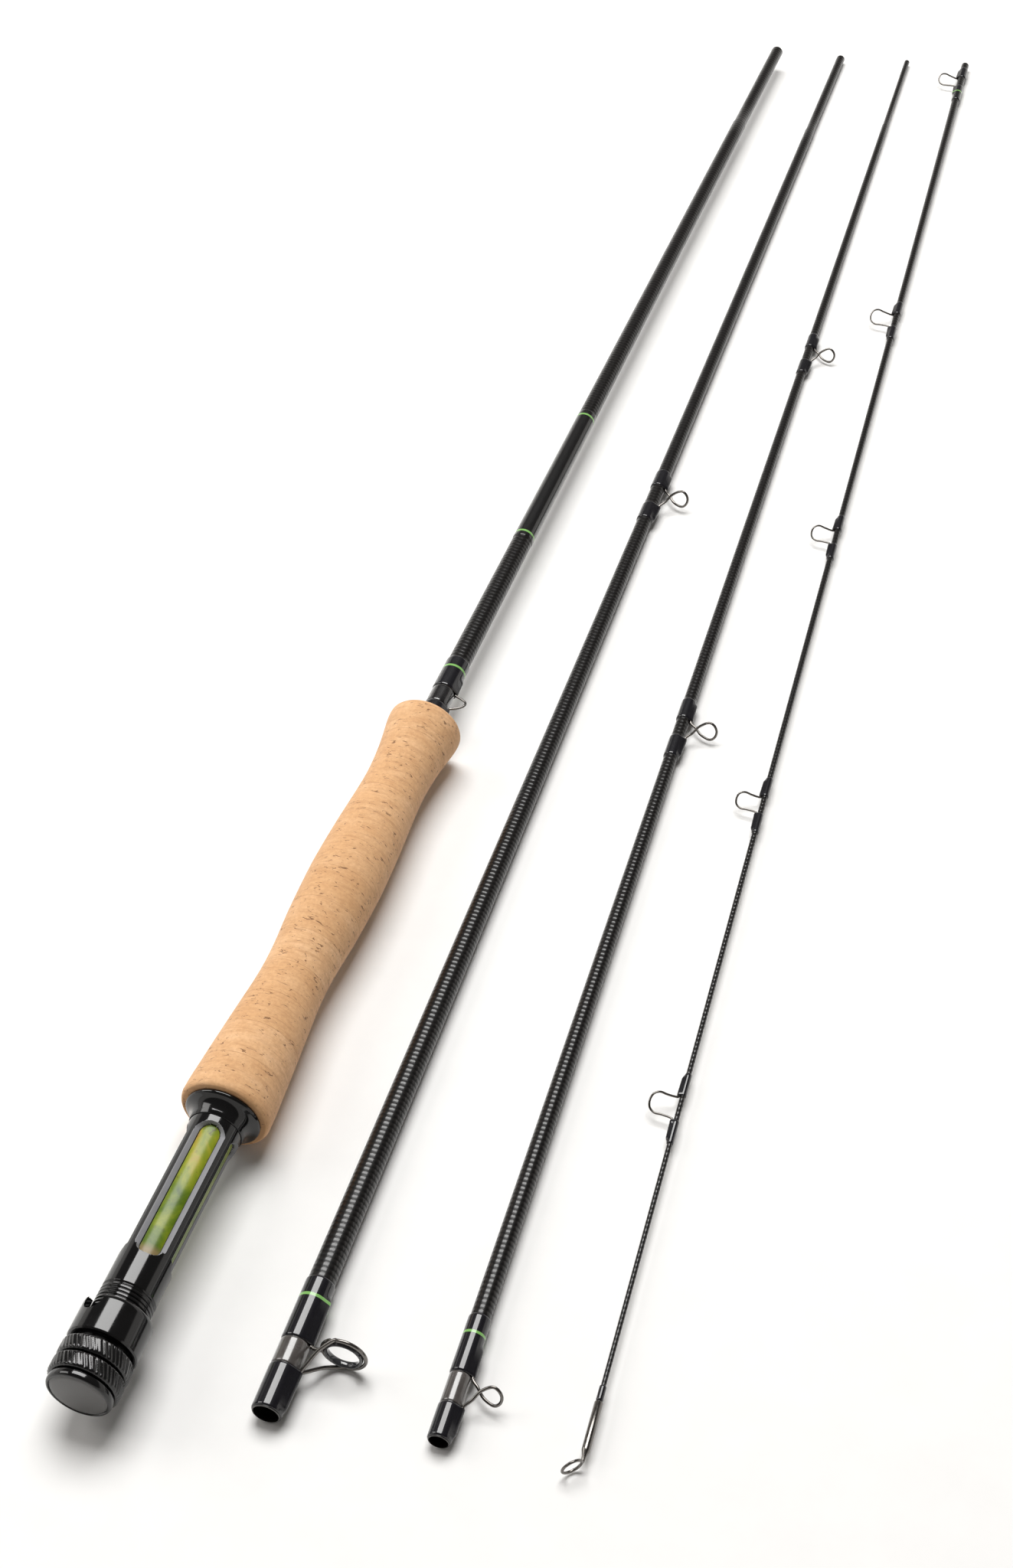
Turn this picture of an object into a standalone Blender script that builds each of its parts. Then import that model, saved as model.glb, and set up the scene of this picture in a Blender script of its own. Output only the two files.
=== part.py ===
"""Four-piece fly rod, taken apart and laid on a table: butt section with reel seat and
cork grip, lower mid, upper mid, and the tip section lying the other way round.

Metres, +Z up, +Y from the butt cap towards the far end, table at Z = 0.
Each section is built along its own local +Y axis and placed by an empty.
"""
import math

import bmesh
import bpy
from mathutils import Vector

MM = 0.001
SECTION_LENGTH = 0.729

# Where the butt section's end lies, so that the footprint of all four is centred on the origin.
LAYOUT_ORIGIN = (-0.05636, -0.37575, -0.00004)

# How the four sections lie. Near end on the table, axis height there and at the far end,
# yaw about Z and roll about the section's own axis (degrees; lifts the guides off the table).
BUTT_LIE = {"xy": (0.0, 0.0), "near_z": 0.01433, "far_z": 0.00864, "yaw": 0.0, "roll": 0.0}
LOWER_LIE = {"xy": (0.0448, 0.0130), "near_z": 0.00440, "far_z": 0.00225, "yaw": 1.410, "roll": -10.0}
UPPER_LIE = {"xy": (0.0898, 0.0194), "near_z": 0.00345, "far_z": 0.00185, "yaw": 2.630, "roll": -10.0}
TIP_LIE = {"xy": (0.1267, 0.0225), "near_z": 0.00325, "far_z": 0.00255, "yaw": 3.476, "roll": 11.0}

# Blank tables: (distance from the near end, outside radius), millimetres.
BUTT_BLANK = [(2.8, 3.90), (262.0, 3.85), (292.0, 3.78), (480.0, 3.25), (661.0, 2.88), (662.0, 2.62), (729.0, 2.55)]
LOWER_BLANK = [(0.0, 3.95), (41.0, 3.85), (150.0, 3.50), (300.0, 2.90), (480.0, 2.40), (662.0, 2.08),
               (663.0, 1.90), (729.0, 1.84)]
UPPER_BLANK = [(0.0, 2.95), (40.0, 2.80), (150.0, 2.52), (300.0, 2.12), (480.0, 1.72), (671.0, 1.34),
               (672.0, 1.19), (729.0, 1.14)]
TIP_BLANK = [(9.0, 0.68), (60.0, 0.72), (150.0, 0.80), (250.0, 0.94), (400.0, 1.12), (600.0, 1.38), (690.0, 1.56),
             (729.0, 1.66)]
# Bore tables of the hollow blanks, from the near end.
BUTT_BORE = [(2.8, 2.60), (300.0, 2.50), (729.0, 1.50)]
LOWER_BORE = [(0.0, 2.72), (66.0, 2.66), (68.0, 2.30), (600.0, 1.20), (729.0, 1.05)]
UPPER_BORE = [(0.0, 1.98), (66.0, 1.94), (68.0, 1.60), (500.0, 0.90), (729.0, 0.55)]
TIP_BORE = [(9.0, 0.30), (560.0, 0.62), (664.0, 0.70), (666.0, 1.20), (729.0, 1.26)]

BLANK_SIDES = 16
WRAP_GAP = 0.03
FOOT_GAP = 0.11
WRAP_WALL = 0.34

# Reel seat stations; the cap stands a little proud of the section's nominal near end.
CAP_START = -2.0
CAP_END = 0.30
NUT_START = 0.60
NUT_LENGTH = 4.90
NUT_SPLIT = 0.30
NUT_R = 10.15
HOOD_START = 12.00
HOOD_END = 23.40
HOOD_R = 10.05
POCKET_TURN = 123.0
BARREL_R = 7.80
BARREL_BORE = 6.30
THREAD_END = 28.6
THREAD_PITCH = 1.20
THREAD_DEPTH = 0.40
WINDOW_START = 38.0
WINDOW_END = 84.0
WINDOW_WIDTH = 7.6
WINDOW_COUNT = 4
WINDOW_TURN = -12.0
SEAT_END = 91.0
INSERT_R = 6.22

# Grip: outline (station, radius) and rings of glued cork.
GRIP_START = 92.6
GRIP_END = 259.4
RING_COUNT = 13
RING_JOINT = 0.05
GRIP_OUTLINE = [(92.6, 12.9), (94.2, 13.5), (106.0, 12.85), (118.0, 12.0), (130.0, 11.08), (139.0, 10.4), (147.0, 10.18),
                (155.0, 10.42), (166.0, 11.17), (178.0, 11.62), (187.0, 11.8), (196.0, 11.62), (208.0, 11.1),
                (220.0, 10.37), (229.0, 9.98), (236.0, 10.12), (244.0, 10.7), (250.0, 11.45), (256.0, 12.25),
                (258.2, 12.2), (259.4, 11.6)]
GRIP_SIDES = 24
FIXED_HOOD_R = 9.6
FIXED_HOOD_END = 103.6
FLANGE_R = 11.3

# Guides: (centre station, half gap between the two wraps, wrap length, loop height, wire radius).
LOWER_SNAKE = (393.9, 4.7, 9.5, 9.6, 0.45)
UPPER_SNAKES = [(272.6, 3.8, 10.0, 9.8, 0.42), (491.9, 4.0, 9.0, 8.6, 0.40)]
TIP_SNAKES = [(118.2, 3.9, 9.0, 7.6, 0.34), (243.2, 3.4, 9.2, 7.3, 0.34), (381.8, 3.6, 8.6, 7.4, 0.34),
              (520.6, 4.0, 8.6, 8.2, 0.34), (712.4, 3.4, 8.4, 7.8, 0.34)]

COLOURS = {
    "anodised": ((0.02, 0.02, 0.022, 1.0), 0.28, 0.9),
    "insert": ((0.42, 0.46, 0.22, 1.0), 0.3, 0.0),
    "cork": ((0.72, 0.55, 0.38, 1.0), 0.8, 0.0),
    "graphite": ((0.035, 0.033, 0.034, 1.0), 0.35, 0.0),
    "thread": ((0.03, 0.028, 0.045, 1.0), 0.2, 0.0),
    "wire": ((0.62, 0.61, 0.60, 1.0), 0.2, 1.0),
    "ceramic": ((0.06, 0.06, 0.065, 1.0), 0.15, 0.0),
}


def clear_scene():
    for item in list(bpy.data.objects):
        bpy.data.objects.remove(item, do_unlink=True)
    for mesh in list(bpy.data.meshes):
        bpy.data.meshes.remove(mesh)


def material(node, kind):
    colour, rough, metal = COLOURS[kind]
    mat = bpy.data.materials.new(node)
    mat.use_nodes = True
    shader = mat.node_tree.nodes["Principled BSDF"]
    shader.inputs["Base Color"].default_value = colour
    shader.inputs["Roughness"].default_value = rough
    shader.inputs["Metallic"].default_value = metal
    return mat


def section_frame(name, lie):
    empty = bpy.data.objects.new(name, None)
    bpy.context.scene.collection.objects.link(empty)
    drop = math.asin((lie["near_z"] - lie["far_z"]) / SECTION_LENGTH)
    near = (lie["xy"][0], lie["xy"][1], lie["near_z"])
    empty.location = [a + b for a, b in zip(near, LAYOUT_ORIGIN)]
    empty.rotation_mode = "YXZ"
    empty.rotation_euler = (-drop, math.radians(lie["roll"]), math.radians(lie["yaw"]))
    return empty


def add_node(name, verts, faces, kind, parent, origin_y=0.0, flip=False):
    """Make one node from points in the section's frame (metres); origin on the axis."""
    mesh = bpy.data.meshes.new(name)
    mesh.from_pydata([(x, y - origin_y, z) for x, y, z in verts], [], faces)
    bm = bmesh.new()
    bm.from_mesh(mesh)
    bmesh.ops.recalc_face_normals(bm, faces=bm.faces)
    bm.to_mesh(mesh)
    bm.free()
    mesh.materials.append(material(name, kind))
    mesh.shade_smooth()
    mesh.set_sharp_from_angle(angle=math.radians(35.0))
    obj = bpy.data.objects.new(name, mesh)
    bpy.context.scene.collection.objects.link(obj)
    obj.parent = parent
    obj.location = (0.0, origin_y, 0.0)
    return obj


def radius_at(table, y_mm):
    """Radius of a straight-sided outline at a station."""
    if y_mm <= table[0][0]:
        return table[0][1]
    for (y0, r0), (y1, r1) in zip(table, table[1:]):
        if y_mm <= y1:
            return r0 + (r1 - r0) * (y_mm - y0) / (y1 - y0)
    return table[-1][1]


def loop_rings(rings):
    """Close a list of equal rings into a tube-like torus: last ring joins the first."""
    count = len(rings[0])
    verts = [p for ring in rings for p in ring]
    faces = []
    total = len(rings)
    for i in range(total):
        a = i * count
        b = ((i + 1) % total) * count
        for j in range(count):
            k = (j + 1) % count
            faces.append((a + j, a + k, b + k, b + j))
    return verts, faces


def open_rings(rings):
    """Close a list of equal rings with flat caps at both ends."""
    count = len(rings[0])
    verts = [p for ring in rings for p in ring]
    faces = []
    for i in range(len(rings) - 1):
        a = i * count
        b = a + count
        for j in range(count):
            k = (j + 1) % count
            faces.append((a + j, a + k, b + k, b + j))
    faces.append(tuple(range(count)))
    last = (len(rings) - 1) * count
    faces.append(tuple(range(last + count - 1, last - 1, -1)))
    return verts, faces


def circle(y_mm, r_mm, sides):
    out = []
    for j in range(sides):
        a = 2.0 * math.pi * j / sides
        out.append((r_mm * MM * math.cos(a), y_mm * MM, r_mm * MM * math.sin(a)))
    return out


def tube_part(name, outer, inner, sides, kind, parent, origin_mm=0.0):
    """Turned piece with a through bore. Outlines run from low to high station."""
    rings = [circle(y, r, sides) for y, r in outer]
    rings += [circle(y, r, sides) for y, r in reversed(inner)]
    verts, faces = loop_rings(rings)
    return add_node(name, verts, faces, kind, parent, origin_mm * MM)


def solid_part(name, outline, sides, kind, parent, origin_mm=0.0):
    rings = [circle(y, r, sides) for y, r in outline]
    verts, faces = open_rings(rings)
    return add_node(name, verts, faces, kind, parent, origin_mm * MM)


def wire_rings(path, radii, sides):
    """Sweep a round wire along a path of points with a steady frame."""
    points = [Vector(p) for p in path]
    rings = []
    up = None
    for i, point in enumerate(points):
        ahead = points[min(i + 1, len(points) - 1)]
        behind = points[max(i - 1, 0)]
        tangent = (ahead - behind).normalized()
        if up is None:
            up = Vector((0.0, 0.0, 1.0))
            if abs(tangent.dot(up)) > 0.9:
                up = Vector((1.0, 0.0, 0.0))
        side = tangent.cross(up).normalized()
        up = side.cross(tangent).normalized()
        ring = []
        for j in range(sides):
            a = 2.0 * math.pi * j / sides
            ring.append(tuple((point + (side * math.cos(a) + up * math.sin(a)) * radii[i]) * MM))
        rings.append(ring)
    return rings


def tent_radius(theta, blank_r, wire_r, dist, grow):
    """Outline of thread pulled over a round blank and a wire lying on it."""
    theta = abs(math.atan2(math.sin(theta), math.cos(theta)))
    if wire_r <= 0.0:
        return blank_r + grow
    big = blank_r + grow
    small = wire_r + grow
    phi = math.acos(max(-1.0, min(1.0, (big - small) / dist)))
    touch = math.atan2(small * math.sin(phi), dist + small * math.cos(phi))
    if theta < touch:
        return dist * math.cos(theta) + math.sqrt(max(0.0, small ** 2 - (dist * math.sin(theta)) ** 2))
    if theta < phi:
        return big / math.cos(theta - phi)
    return big


def wrap_angles(sides, blank_r, wire_r):
    """Facet angles of the blank, plus some that follow the thread round the wire."""
    dist = blank_r + WRAP_GAP + wire_r
    small = wire_r + FOOT_GAP
    phi = math.acos((blank_r + WRAP_GAP - small) / dist)
    touch = math.atan2(small * math.sin(phi), dist + small * math.cos(phi))
    angles = [2.0 * math.pi * j / sides for j in range(sides)]
    for share in (0.35, 0.68, 0.97):
        near = touch * share
        if min(abs(near - a) for a in angles) > 0.01:
            angles += [near, 2.0 * math.pi - near]
    return sorted(angles)


def thread_wrap(name, table, start, end, foot_end, wire_r, side, parent, sides):
    """Thread binding over a guide foot. foot_end is where the hidden tip of the foot stops."""
    ends = [start, foot_end, end] if start < end else [end, foot_end, start]
    rings_out = []
    rings_in = []
    angles = wrap_angles(sides, radius_at(table, foot_end), wire_r)
    for y in ends:
        r = radius_at(table, y)
        tapers = abs(y - end) < 1e-6
        w = 0.0 if tapers else wire_r
        dist = r + WRAP_GAP + wire_r
        outer = []
        inner = []
        thin = 0.12 if abs(y - foot_end) > 1e-6 else 0.0
        for foot in angles:
            a = foot if side > 0 else foot + math.pi
            gap = WRAP_GAP
            ri = tent_radius(foot, r, w + (FOOT_GAP - WRAP_GAP if w else 0.0), dist, gap)
            ro = tent_radius(foot, r, w + (FOOT_GAP - WRAP_GAP if w else 0.0), dist, gap + WRAP_WALL - thin)
            inner.append((ri * MM * math.cos(a), y * MM, ri * MM * math.sin(a)))
            outer.append((ro * MM * math.cos(a), y * MM, ro * MM * math.sin(a)))
        rings_out.append(outer)
        rings_in.append(inner)
    verts, faces = loop_rings(rings_out + rings_in[::-1])
    return add_node(name, verts, faces, "thread", parent)


def snake_guide(name, table, centre, half_gap, foot_len, height, wire_r, side, parent):
    """One bent wire: foot, one open turn standing off the blank, foot."""
    path = []
    radii = []
    y0 = centre - half_gap
    y1 = centre + half_gap
    near = radius_at(table, y0 - foot_len) + WRAP_GAP + wire_r
    start = radius_at(table, y0) + WRAP_GAP + wire_r
    finish = radius_at(table, y1) + WRAP_GAP + wire_r
    far = radius_at(table, y1 + foot_len) + WRAP_GAP + wire_r
    path.append((side * near, y0 - foot_len, 0.0))
    radii.append(wire_r * 0.75)
    path.append((side * (start + 0.0), y0 - 0.4, 0.0))
    radii.append(wire_r)
    turns = 14
    for i in range(1, turns):
        t = i / turns
        lift = height * 0.5 * (1.0 - math.cos(2.0 * math.pi * t))
        lateral = height * 0.36 * math.sin(2.0 * math.pi * t)
        base = start + (finish - start) * t
        y = y0 + (y1 - y0) * t
        path.append((side * (base + lift), y, lateral))
        radii.append(wire_r)
    path.append((side * finish, y1 + 0.4, 0.0))
    radii.append(wire_r)
    path.append((side * far, y1 + foot_len, 0.0))
    radii.append(wire_r * 0.75)
    verts, faces = open_rings(wire_rings(path, radii, 6))
    return add_node(name, verts, faces, "wire", parent)


def build_snake(prefix, table, spec, side, parent, sides):
    centre, half_gap, wrap_len, height, wire_r = spec
    foot = wrap_len - 2.2
    snake_guide(prefix, table, centre, half_gap, foot, height, wire_r, side, parent)
    low = centre - half_gap
    high = centre + half_gap
    margin = 1.0
    thread_wrap(prefix + "_wrap_near", table, low - margin, low - wrap_len, low - foot - 0.6, wire_r, side, parent,
                sides)
    thread_wrap(prefix + "_wrap_far", table, high + margin, high + wrap_len, high + foot + 0.6, wire_r, side, parent,
                sides)


def knurl_nut(name, start, parent):
    """Ring nut with a chamfered rim; the bore runs clear over the seat's thread crests."""
    end = start + NUT_LENGTH
    outer = [(start, NUT_R - 0.7), (start + 0.6, NUT_R), (end - 0.6, NUT_R), (end, NUT_R - 0.7)]
    inner = [(start, BARREL_R + 0.12), (end, BARREL_R + 0.12)]
    return tube_part(name, outer, inner, 32, "anodised", parent, start + NUT_LENGTH * 0.5)


def cut(target, cutter):
    cutter.hide_render = True
    cutter.display_type = "WIRE"
    mod = target.modifiers.new("cut", "BOOLEAN")
    mod.operation = "DIFFERENCE"
    mod.solver = "EXACT"
    mod.object = cutter


def slot_cutter(name, start, end, width, angle, parent, r_in, r_out):
    """Rounded-end slot standing radially out of the seat at one angle."""
    half = width * 0.5
    outline = []
    for i in range(7):
        a = math.pi * i / 6
        outline.append((half * math.cos(a), end - half + half * math.sin(a)))
    for i in range(7):
        a = math.pi + math.pi * i / 6
        outline.append((half * math.cos(a), start + half + half * math.sin(a)))
    ca = math.cos(angle)
    sa = math.sin(angle)
    rings = []
    for r in (r_in, r_out):
        ring = []
        for u, y in outline:
            ring.append(((r * ca - u * sa) * MM, y * MM, (r * sa + u * ca) * MM))
        rings.append(ring)
    verts, faces = open_rings(rings)
    return add_node(name, verts, faces, "anodised", parent)


def build_seat(frame):
    cap = [(CAP_START, 8.5), (CAP_START + 0.8, 9.3), (CAP_END, 9.3)]
    solid_part("butt_cap", cap, 32, "anodised", frame)

    outer = [(CAP_END + 0.05, BARREL_R - THREAD_DEPTH)]
    y = CAP_END + 0.5
    while y < THREAD_END:
        outer.append((y, BARREL_R))
        outer.append((y + THREAD_PITCH * 0.5, BARREL_R - THREAD_DEPTH))
        y += THREAD_PITCH
    outer.append((THREAD_END + 1.2, BARREL_R))
    outer.append((SEAT_END, BARREL_R))
    inner = [(CAP_END + 0.05, BARREL_BORE), (SEAT_END, BARREL_BORE)]
    barrel = tube_part("reel_seat_barrel", outer, inner, 32, "anodised", frame)
    for i in range(WINDOW_COUNT):
        angle = math.radians(90.0 + WINDOW_TURN + 360.0 * i / WINDOW_COUNT)
        cutter = slot_cutter("window_cutter_%d" % i, WINDOW_START, WINDOW_END, WINDOW_WIDTH, angle, frame,
                             INSERT_R - 2.0, BARREL_R + 3.0)
        cut(barrel, cutter)

    insert_outer = [(CAP_END + 0.4, INSERT_R), (SEAT_END, INSERT_R)]
    insert_inner = [(CAP_END + 0.4, 3.98), (SEAT_END, 3.98)]
    tube_part("seat_insert", insert_outer, insert_inner, 32, "insert", frame)

    knurl_nut("lock_nut", NUT_START, frame)
    knurl_nut("jam_nut", NUT_START + NUT_LENGTH + NUT_SPLIT, frame)

    hood_outer = [(HOOD_START, HOOD_R - 0.6), (HOOD_START + 0.6, HOOD_R), (HOOD_END - 0.8, HOOD_R),
                  (HOOD_END, HOOD_R - 0.9)]
    hood_inner = [(HOOD_START, BARREL_R + 0.15), (HOOD_END, BARREL_R + 0.15)]
    hood = tube_part("sliding_hood", hood_outer, hood_inner, 32, "anodised", frame, HOOD_START)
    # The reel foot slides into a pocket in line with one of the barrel's bars; a narrower notch opens it.
    turn = math.radians(POCKET_TURN)
    cut(hood, slot_cutter("pocket_cutter", HOOD_START + 3.6, HOOD_END + 9.0, 8.0, turn, frame, BARREL_R - 3.0,
                          HOOD_R - 1.15))
    cut(hood, slot_cutter("notch_cutter", HOOD_START + 6.4, HOOD_END + 8.0, 6.8, turn, frame, BARREL_R - 2.5,
                          HOOD_R + 2.0))

    flare_bore = BARREL_R + 0.12
    fixed_outer = [(86.6, 8.15), (89.0, 8.7), (90.6, 9.7), (91.4, FLANGE_R - 0.3), (92.0, FLANGE_R), (92.5, FLANGE_R),
                   (92.55, FIXED_HOOD_R), (FIXED_HOOD_END, FIXED_HOOD_R)]
    fixed_inner = [(86.6, flare_bore), (SEAT_END + 0.1, flare_bore), (SEAT_END + 0.15, 4.05), (FIXED_HOOD_END, 4.05)]
    tube_part("fixed_hood", fixed_outer, fixed_inner, 32, "anodised", frame)


def build_grip(frame):
    pitch = (GRIP_END - GRIP_START) / RING_COUNT
    for i in range(RING_COUNT):
        start = GRIP_START + pitch * i
        end = start + pitch - RING_JOINT
        stations = [start] + [y for y, _ in GRIP_OUTLINE if start + 0.3 < y < end - 0.3] + [end]
        outer = [(y, radius_at(GRIP_OUTLINE, y)) for y in stations]
        bore = 3.98
        if start < FIXED_HOOD_END:
            inner = [(start, FIXED_HOOD_R + 0.16), (end, FIXED_HOOD_R + 0.16)]
        else:
            inner = [(start, bore), (end, bore)]
        tube_part("cork_ring_%02d" % (i + 1), outer, inner, GRIP_SIDES, "cork", frame)


def build_butt():
    frame = section_frame("butt_frame", BUTT_LIE)
    build_seat(frame)
    build_grip(frame)
    tube_part("butt_blank", BUTT_BLANK, BUTT_BORE, BLANK_SIDES, "graphite", frame)

    wire_r = 0.40
    low = radius_at(BUTT_BLANK, 268.0) + WRAP_GAP + wire_r
    high = radius_at(BUTT_BLANK, 279.0) + WRAP_GAP + wire_r
    path = [(low, 263.0, 0.0), (low, 269.0, 0.0), (low + 0.5, 269.9, 0.0), (low + 2.6, 270.9, 0.0),
            (low + 4.2, 272.4, 0.0), (low + 4.5, 273.6, 0.0), (low + 4.0, 274.6, 0.0), (low + 2.2, 275.6, 0.0),
            (high + 0.4, 276.4, 0.0), (high, 277.2, 0.0), (high, 282.5, 0.0)]
    radii = [0.3] + [wire_r] * 9 + [0.3]
    verts, faces = open_rings(wire_rings(path, radii, 6))
    add_node("hook_keeper", verts, faces, "wire", frame)
    thread_wrap("keeper_wrap_near", BUTT_BLANK, 269.2, 260.2, 262.6, wire_r, 1, frame, BLANK_SIDES)
    thread_wrap("keeper_wrap_far", BUTT_BLANK, 277.0, 291.6, 283.0, wire_r, 1, frame, BLANK_SIDES)
    return frame


def build_stripper(frame):
    """Two-footed stripping guide: two legs spread from one foot round a ceramic ring, a brace from the other."""
    ring_y = 21.0
    centre_x = 14.3
    ring_r = 5.5
    wire_r = 0.55
    sides = 24
    profile = [(-1.1, 0.25), (-0.7, 0.0), (0.7, 0.0), (1.1, 0.25), (1.1, 0.75), (0.5, 1.15), (-0.5, 1.15), (-1.1, 0.75)]
    rings = []
    for j in range(sides):
        a = 2.0 * math.pi * j / sides
        ring = []
        for along, depth in profile:
            r = ring_r - depth
            ring.append(((centre_x + r * math.cos(a)) * MM, (ring_y + along) * MM, r * math.sin(a) * MM))
        rings.append(ring)
    verts, faces = loop_rings(rings)
    add_node("stripping_guide_ring", verts, faces, "ceramic", frame)

    foot_x = radius_at(LOWER_BLANK, 8.0) + WRAP_GAP + wire_r
    hoop = ring_r + wire_r + 0.08
    spread = math.radians(102.0)
    turns = 18
    arc = []
    for i in range(turns + 1):
        a = spread - 2.0 * spread * i / turns
        arc.append((centre_x + hoop * math.cos(a), ring_y - 0.1, hoop * math.sin(a)))
    rise = [(foot_x + 0.25, 13.7, 0.35), (foot_x + 1.3, 15.0, 1.3), (foot_x + 3.8, 18.0, 3.4),
            (foot_x + 6.2, 19.7, 4.9)]
    leg = [(foot_x, 2.6, 0.0), (foot_x, 12.8, 0.0)] + rise
    back = [(x, y, -z) for x, y, z in reversed(rise)] + [(foot_x + 0.05, 13.1, -0.2)]
    path = leg + arc + back
    radii = [0.35] + [wire_r] * (len(path) - 1)
    verts, faces = open_rings(wire_rings(path, radii, 8))
    hoop_part = add_node("stripping_guide_frame", verts, faces, "wire", frame)

    far_x = radius_at(LOWER_BLANK, 30.0) + WRAP_GAP + wire_r
    brace = [(far_x, 35.4, 0.0), (far_x, 22.7, 0.0), (far_x + 0.3, 21.8, 0.0), (far_x + 1.1, 21.3, 0.0),
             (far_x + 2.2, 21.1, 0.0), (centre_x - hoop - 0.1, ring_y + 0.1, 0.0)]
    hidden = open_rings(wire_rings(brace, [0.35] + [wire_r] * 5, 8))
    brace_part = add_node("guide_brace_cutter", hidden[0], hidden[1], "wire", frame)
    saddle = [(centre_x + hoop * math.cos(math.pi + a), ring_y + 0.1, hoop * math.sin(math.pi + a))
              for a in [math.radians(-66.0 + 12.0 * i) for i in range(12)]]
    bar = open_rings(wire_rings(saddle, [wire_r * 0.93] * len(saddle), 8))
    bar_part = add_node("guide_bar_cutter", bar[0], bar[1], "wire", frame)
    for extra in (bar_part, brace_part):
        extra.hide_render = True
        extra.display_type = "WIRE"
        mod = hoop_part.modifiers.new("braze", "BOOLEAN")
        mod.operation = "UNION"
        mod.solver = "EXACT"
        mod.use_self = True
        mod.object = extra
    thread_wrap("lower_ferrule_wrap_near", LOWER_BLANK, 12.8, 0.3, 2.0, wire_r, 1, frame, BLANK_SIDES)
    thread_wrap("lower_ferrule_wrap_far", LOWER_BLANK, 22.8, 41.4, 36.0, wire_r, 1, frame, BLANK_SIDES)


def build_lower():
    frame = section_frame("lower_frame", LOWER_LIE)
    tube_part("lower_mid_blank", LOWER_BLANK, LOWER_BORE, BLANK_SIDES, "graphite", frame)
    build_stripper(frame)
    build_snake("lower_snake", LOWER_BLANK, LOWER_SNAKE, 1, frame, BLANK_SIDES)
    return frame


def build_upper():
    frame = section_frame("upper_frame", UPPER_LIE)
    tube_part("upper_mid_blank", UPPER_BLANK, UPPER_BORE, BLANK_SIDES, "graphite", frame)
    wire_r = 0.45
    snake_guide("upper_ferrule_snake", UPPER_BLANK, 15.3, 4.2, 7.6, 9.4, wire_r, 1, frame)
    thread_wrap("upper_ferrule_wrap_near", UPPER_BLANK, 10.1, 0.3, 2.6, wire_r, 1, frame, BLANK_SIDES)
    thread_wrap("upper_ferrule_wrap_far", UPPER_BLANK, 20.5, 38.0, 28.0, wire_r, 1, frame, BLANK_SIDES)
    for i, spec in enumerate(UPPER_SNAKES):
        build_snake("upper_snake_%d" % (i + 1), UPPER_BLANK, spec, 1, frame, BLANK_SIDES)
    return frame


def build_tip():
    frame = section_frame("tip_frame", TIP_LIE)
    tube_part("tip_blank", TIP_BLANK, TIP_BORE, 12, "graphite", frame)
    for i, spec in enumerate(TIP_SNAKES):
        build_snake("tip_snake_%d" % (i + 1), TIP_BLANK, spec, -1, frame, 12)

    # Tip-top: closed metal tube slipped over the blank with a line loop brazed on its nose.
    tube_r = 1.15
    bore_r = 0.78
    outline = [(2.9, 0.42), (4.9, 0.72), (6.4, tube_r), (20.4, tube_r), (20.4, bore_r), (8.6, bore_r), (8.6, 0.05)]
    rings = [circle(y, r, 12) for y, r in outline]
    rings = [circle(2.9, 0.05, 12)] + rings
    verts, faces = open_rings(rings)
    add_node("tiptop_tube", verts, faces, "wire", frame)
    # The loop leans out and forward from the nose; lean runs from the nose across the loop.
    loop_r = 2.8
    wire_r = 0.40
    lean = Vector((-0.755, -0.656, 0.0)).normalized()
    facing = Vector((-lean.y, lean.x, 0.0))
    centre = Vector((-0.15, 2.485, 0.0)) + lean * loop_r
    rings = []
    for i in range(16):
        a = 2.0 * math.pi * i / 16
        out = lean * math.cos(a) + Vector((0.0, 0.0, math.sin(a)))
        rings.append([tuple((centre + out * loop_r + (out * math.cos(k * math.pi / 3) + facing * math.sin(k * math.pi / 3))
                             * wire_r) * MM) for k in range(6)])
    verts, faces = loop_rings(rings)
    add_node("tiptop_loop", verts, faces, "wire", frame)
    return frame


clear_scene()
build_butt()
build_lower()
build_upper()
build_tip()
bpy.context.view_layer.update()
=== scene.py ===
"""Looks of the four-piece fly rod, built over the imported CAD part.

Every CAD node is stood in for by a finer piece of the same name plus "_look". Pieces are drawn in
millimetres in their own section's frame, whose +Y runs along that section's axis.
"""
import math

import bmesh
import bpy
from mathutils import Euler, Matrix, Vector


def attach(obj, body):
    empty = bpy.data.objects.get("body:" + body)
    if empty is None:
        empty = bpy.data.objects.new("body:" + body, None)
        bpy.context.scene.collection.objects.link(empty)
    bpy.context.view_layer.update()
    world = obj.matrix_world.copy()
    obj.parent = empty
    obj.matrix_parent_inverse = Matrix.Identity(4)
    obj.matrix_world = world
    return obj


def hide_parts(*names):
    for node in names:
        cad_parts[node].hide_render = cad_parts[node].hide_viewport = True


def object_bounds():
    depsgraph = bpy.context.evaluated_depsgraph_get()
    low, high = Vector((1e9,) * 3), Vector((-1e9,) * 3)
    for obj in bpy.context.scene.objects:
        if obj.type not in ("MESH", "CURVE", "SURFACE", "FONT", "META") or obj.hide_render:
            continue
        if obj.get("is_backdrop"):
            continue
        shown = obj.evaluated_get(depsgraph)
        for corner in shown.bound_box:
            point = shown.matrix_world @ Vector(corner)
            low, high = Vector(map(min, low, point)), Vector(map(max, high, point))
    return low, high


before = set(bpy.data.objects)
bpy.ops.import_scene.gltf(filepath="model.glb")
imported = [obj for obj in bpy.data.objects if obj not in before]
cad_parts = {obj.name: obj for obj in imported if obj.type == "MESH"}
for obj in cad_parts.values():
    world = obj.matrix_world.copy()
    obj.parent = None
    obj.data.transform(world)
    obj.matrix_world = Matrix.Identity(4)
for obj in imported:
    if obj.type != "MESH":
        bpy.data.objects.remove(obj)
start_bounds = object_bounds()

MM = 0.001
SECTION_LENGTH = 0.729
LAYOUT_ORIGIN = (-0.05636, -0.37575, -0.00004)

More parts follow.
